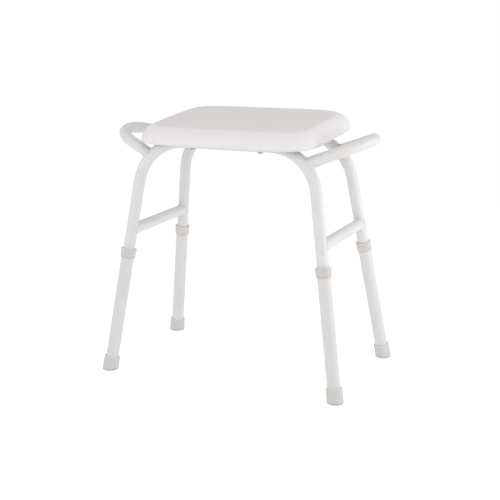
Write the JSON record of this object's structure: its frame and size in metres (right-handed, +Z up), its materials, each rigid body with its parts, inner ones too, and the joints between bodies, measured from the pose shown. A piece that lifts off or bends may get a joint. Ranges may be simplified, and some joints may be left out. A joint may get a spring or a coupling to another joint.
{
  "type": "shower stool",
  "caption": "Backless shower stool with a rounded pad seat, side handles and splayed tube legs that slide to set the height.",
  "frame": {"origin": "on the floor under the middle of the stool, midway between the feet", "axes": "+Z up, -Y to the front edge of the seat, +X to the side handle on the right of someone facing the back"},
  "size_m": [0.6178, 0.3608, 0.5834],
  "materials": {
    "painted_frame_tube": "off-white powder coat, satin",
    "painted_lower_tube": "off-white powder coat, satin",
    "seat_foam": "off-white self-skinned polyurethane foam, fine leathery grain",
    "seat_plastic": "moulded, fine texture",
    "collar_plastic": "warm grey moulded plastic, satin",
    "glide_plastic": "moulded",
    "zinc_steel": "zinc plated",
    "foot_rubber": "grey-beige rubber, matt",
    "button_steel": "turned and polished",
    "spring_steel": "blued strip"
  },
  "bodies": {
    "frame": {"front_arch_tube": "painted_frame_tube", "rear_arch_tube": "painted_frame_tube", "left_side_brace": "painted_frame_tube", "right_side_brace": "painted_frame_tube", "left_handle": "painted_frame_tube", "right_handle": "painted_frame_tube", "seat_pad": "seat_foam", "seat_base": "seat_plastic", "front_left_saddle": "seat_plastic", "front_right_saddle": "seat_plastic", "rear_left_saddle": "seat_plastic", "rear_right_saddle": "seat_plastic", "seat_bolts": "zinc_steel", "seat_nuts": "zinc_steel", "front_left_end_glide": "glide_plastic", "front_right_end_glide": "glide_plastic", "rear_left_end_glide": "glide_plastic", "rear_right_end_glide": "glide_plastic", "front_left_button_spring": "spring_steel", "front_right_button_spring": "spring_steel", "rear_left_button_spring": "spring_steel", "rear_right_button_spring": "spring_steel"},
    "front_left_leg": {"front_left_lower_tube": "painted_lower_tube", "front_left_leg_collar": "collar_plastic", "front_left_foot_washer": "zinc_steel", "front_left_foot": "foot_rubber"},
    "front_right_leg": {"front_right_lower_tube": "painted_lower_tube", "front_right_leg_collar": "collar_plastic", "front_right_foot_washer": "zinc_steel", "front_right_foot": "foot_rubber"},
    "rear_left_leg": {"rear_left_lower_tube": "painted_lower_tube", "rear_left_leg_collar": "collar_plastic", "rear_left_foot_washer": "zinc_steel", "rear_left_foot": "foot_rubber"},
    "rear_right_leg": {"rear_right_lower_tube": "painted_lower_tube", "rear_right_leg_collar": "collar_plastic", "rear_right_foot_washer": "zinc_steel", "rear_right_foot": "foot_rubber"},
    "front_left_button": {"front_left_snap_button": "button_steel"},
    "front_right_button": {"front_right_snap_button": "button_steel"},
    "rear_left_button": {"rear_left_snap_button": "button_steel"},
    "rear_right_button": {"rear_right_snap_button": "button_steel"}
  },
  "joints": [
    {"name": "front_left_leg_slide", "type": "slide", "parent": "frame", "child": "front_left_leg", "axis": [-0.1454, -0.1198, -0.9821], "range_m": [-0.0254, 0.127]},
    {"name": "front_right_leg_slide", "type": "slide", "parent": "frame", "child": "front_right_leg", "axis": [0.1454, -0.1198, -0.9821], "range_m": [-0.0254, 0.127]},
    {"name": "rear_left_leg_slide", "type": "slide", "parent": "frame", "child": "rear_left_leg", "axis": [-0.1454, 0.1198, -0.9821], "range_m": [-0.0254, 0.127]},
    {"name": "rear_right_leg_slide", "type": "slide", "parent": "frame", "child": "rear_right_leg", "axis": [0.1454, 0.1198, -0.9821], "range_m": [-0.0254, 0.127]},
    {"name": "front_left_button_press", "type": "slide", "parent": "frame", "child": "front_left_button", "axis": [0.0175, -0.9928, 0.1185], "range_m": [0, 0.0048], "stiffness_N_per_m": 800, "springref_m": -0.004, "deforming": ["front_left_button_spring"]},
    {"name": "front_right_button_press", "type": "slide", "parent": "frame", "child": "front_right_button", "axis": [-0.0175, -0.9928, 0.1185], "range_m": [0, 0.0048], "stiffness_N_per_m": 800, "springref_m": -0.004, "deforming": ["front_right_button_spring"]},
    {"name": "rear_left_button_press", "type": "slide", "parent": "frame", "child": "rear_left_button", "axis": [-0.0175, -0.9928, -0.1185], "range_m": [0, 0.0048], "stiffness_N_per_m": 800, "springref_m": -0.004, "deforming": ["rear_left_button_spring"]},
    {"name": "rear_right_button_press", "type": "slide", "parent": "frame", "child": "rear_right_button", "axis": [0.0175, -0.9928, -0.1185], "range_m": [0, 0.0048], "stiffness_N_per_m": 800, "springref_m": -0.004, "deforming": ["rear_right_button_spring"]}
  ]
}
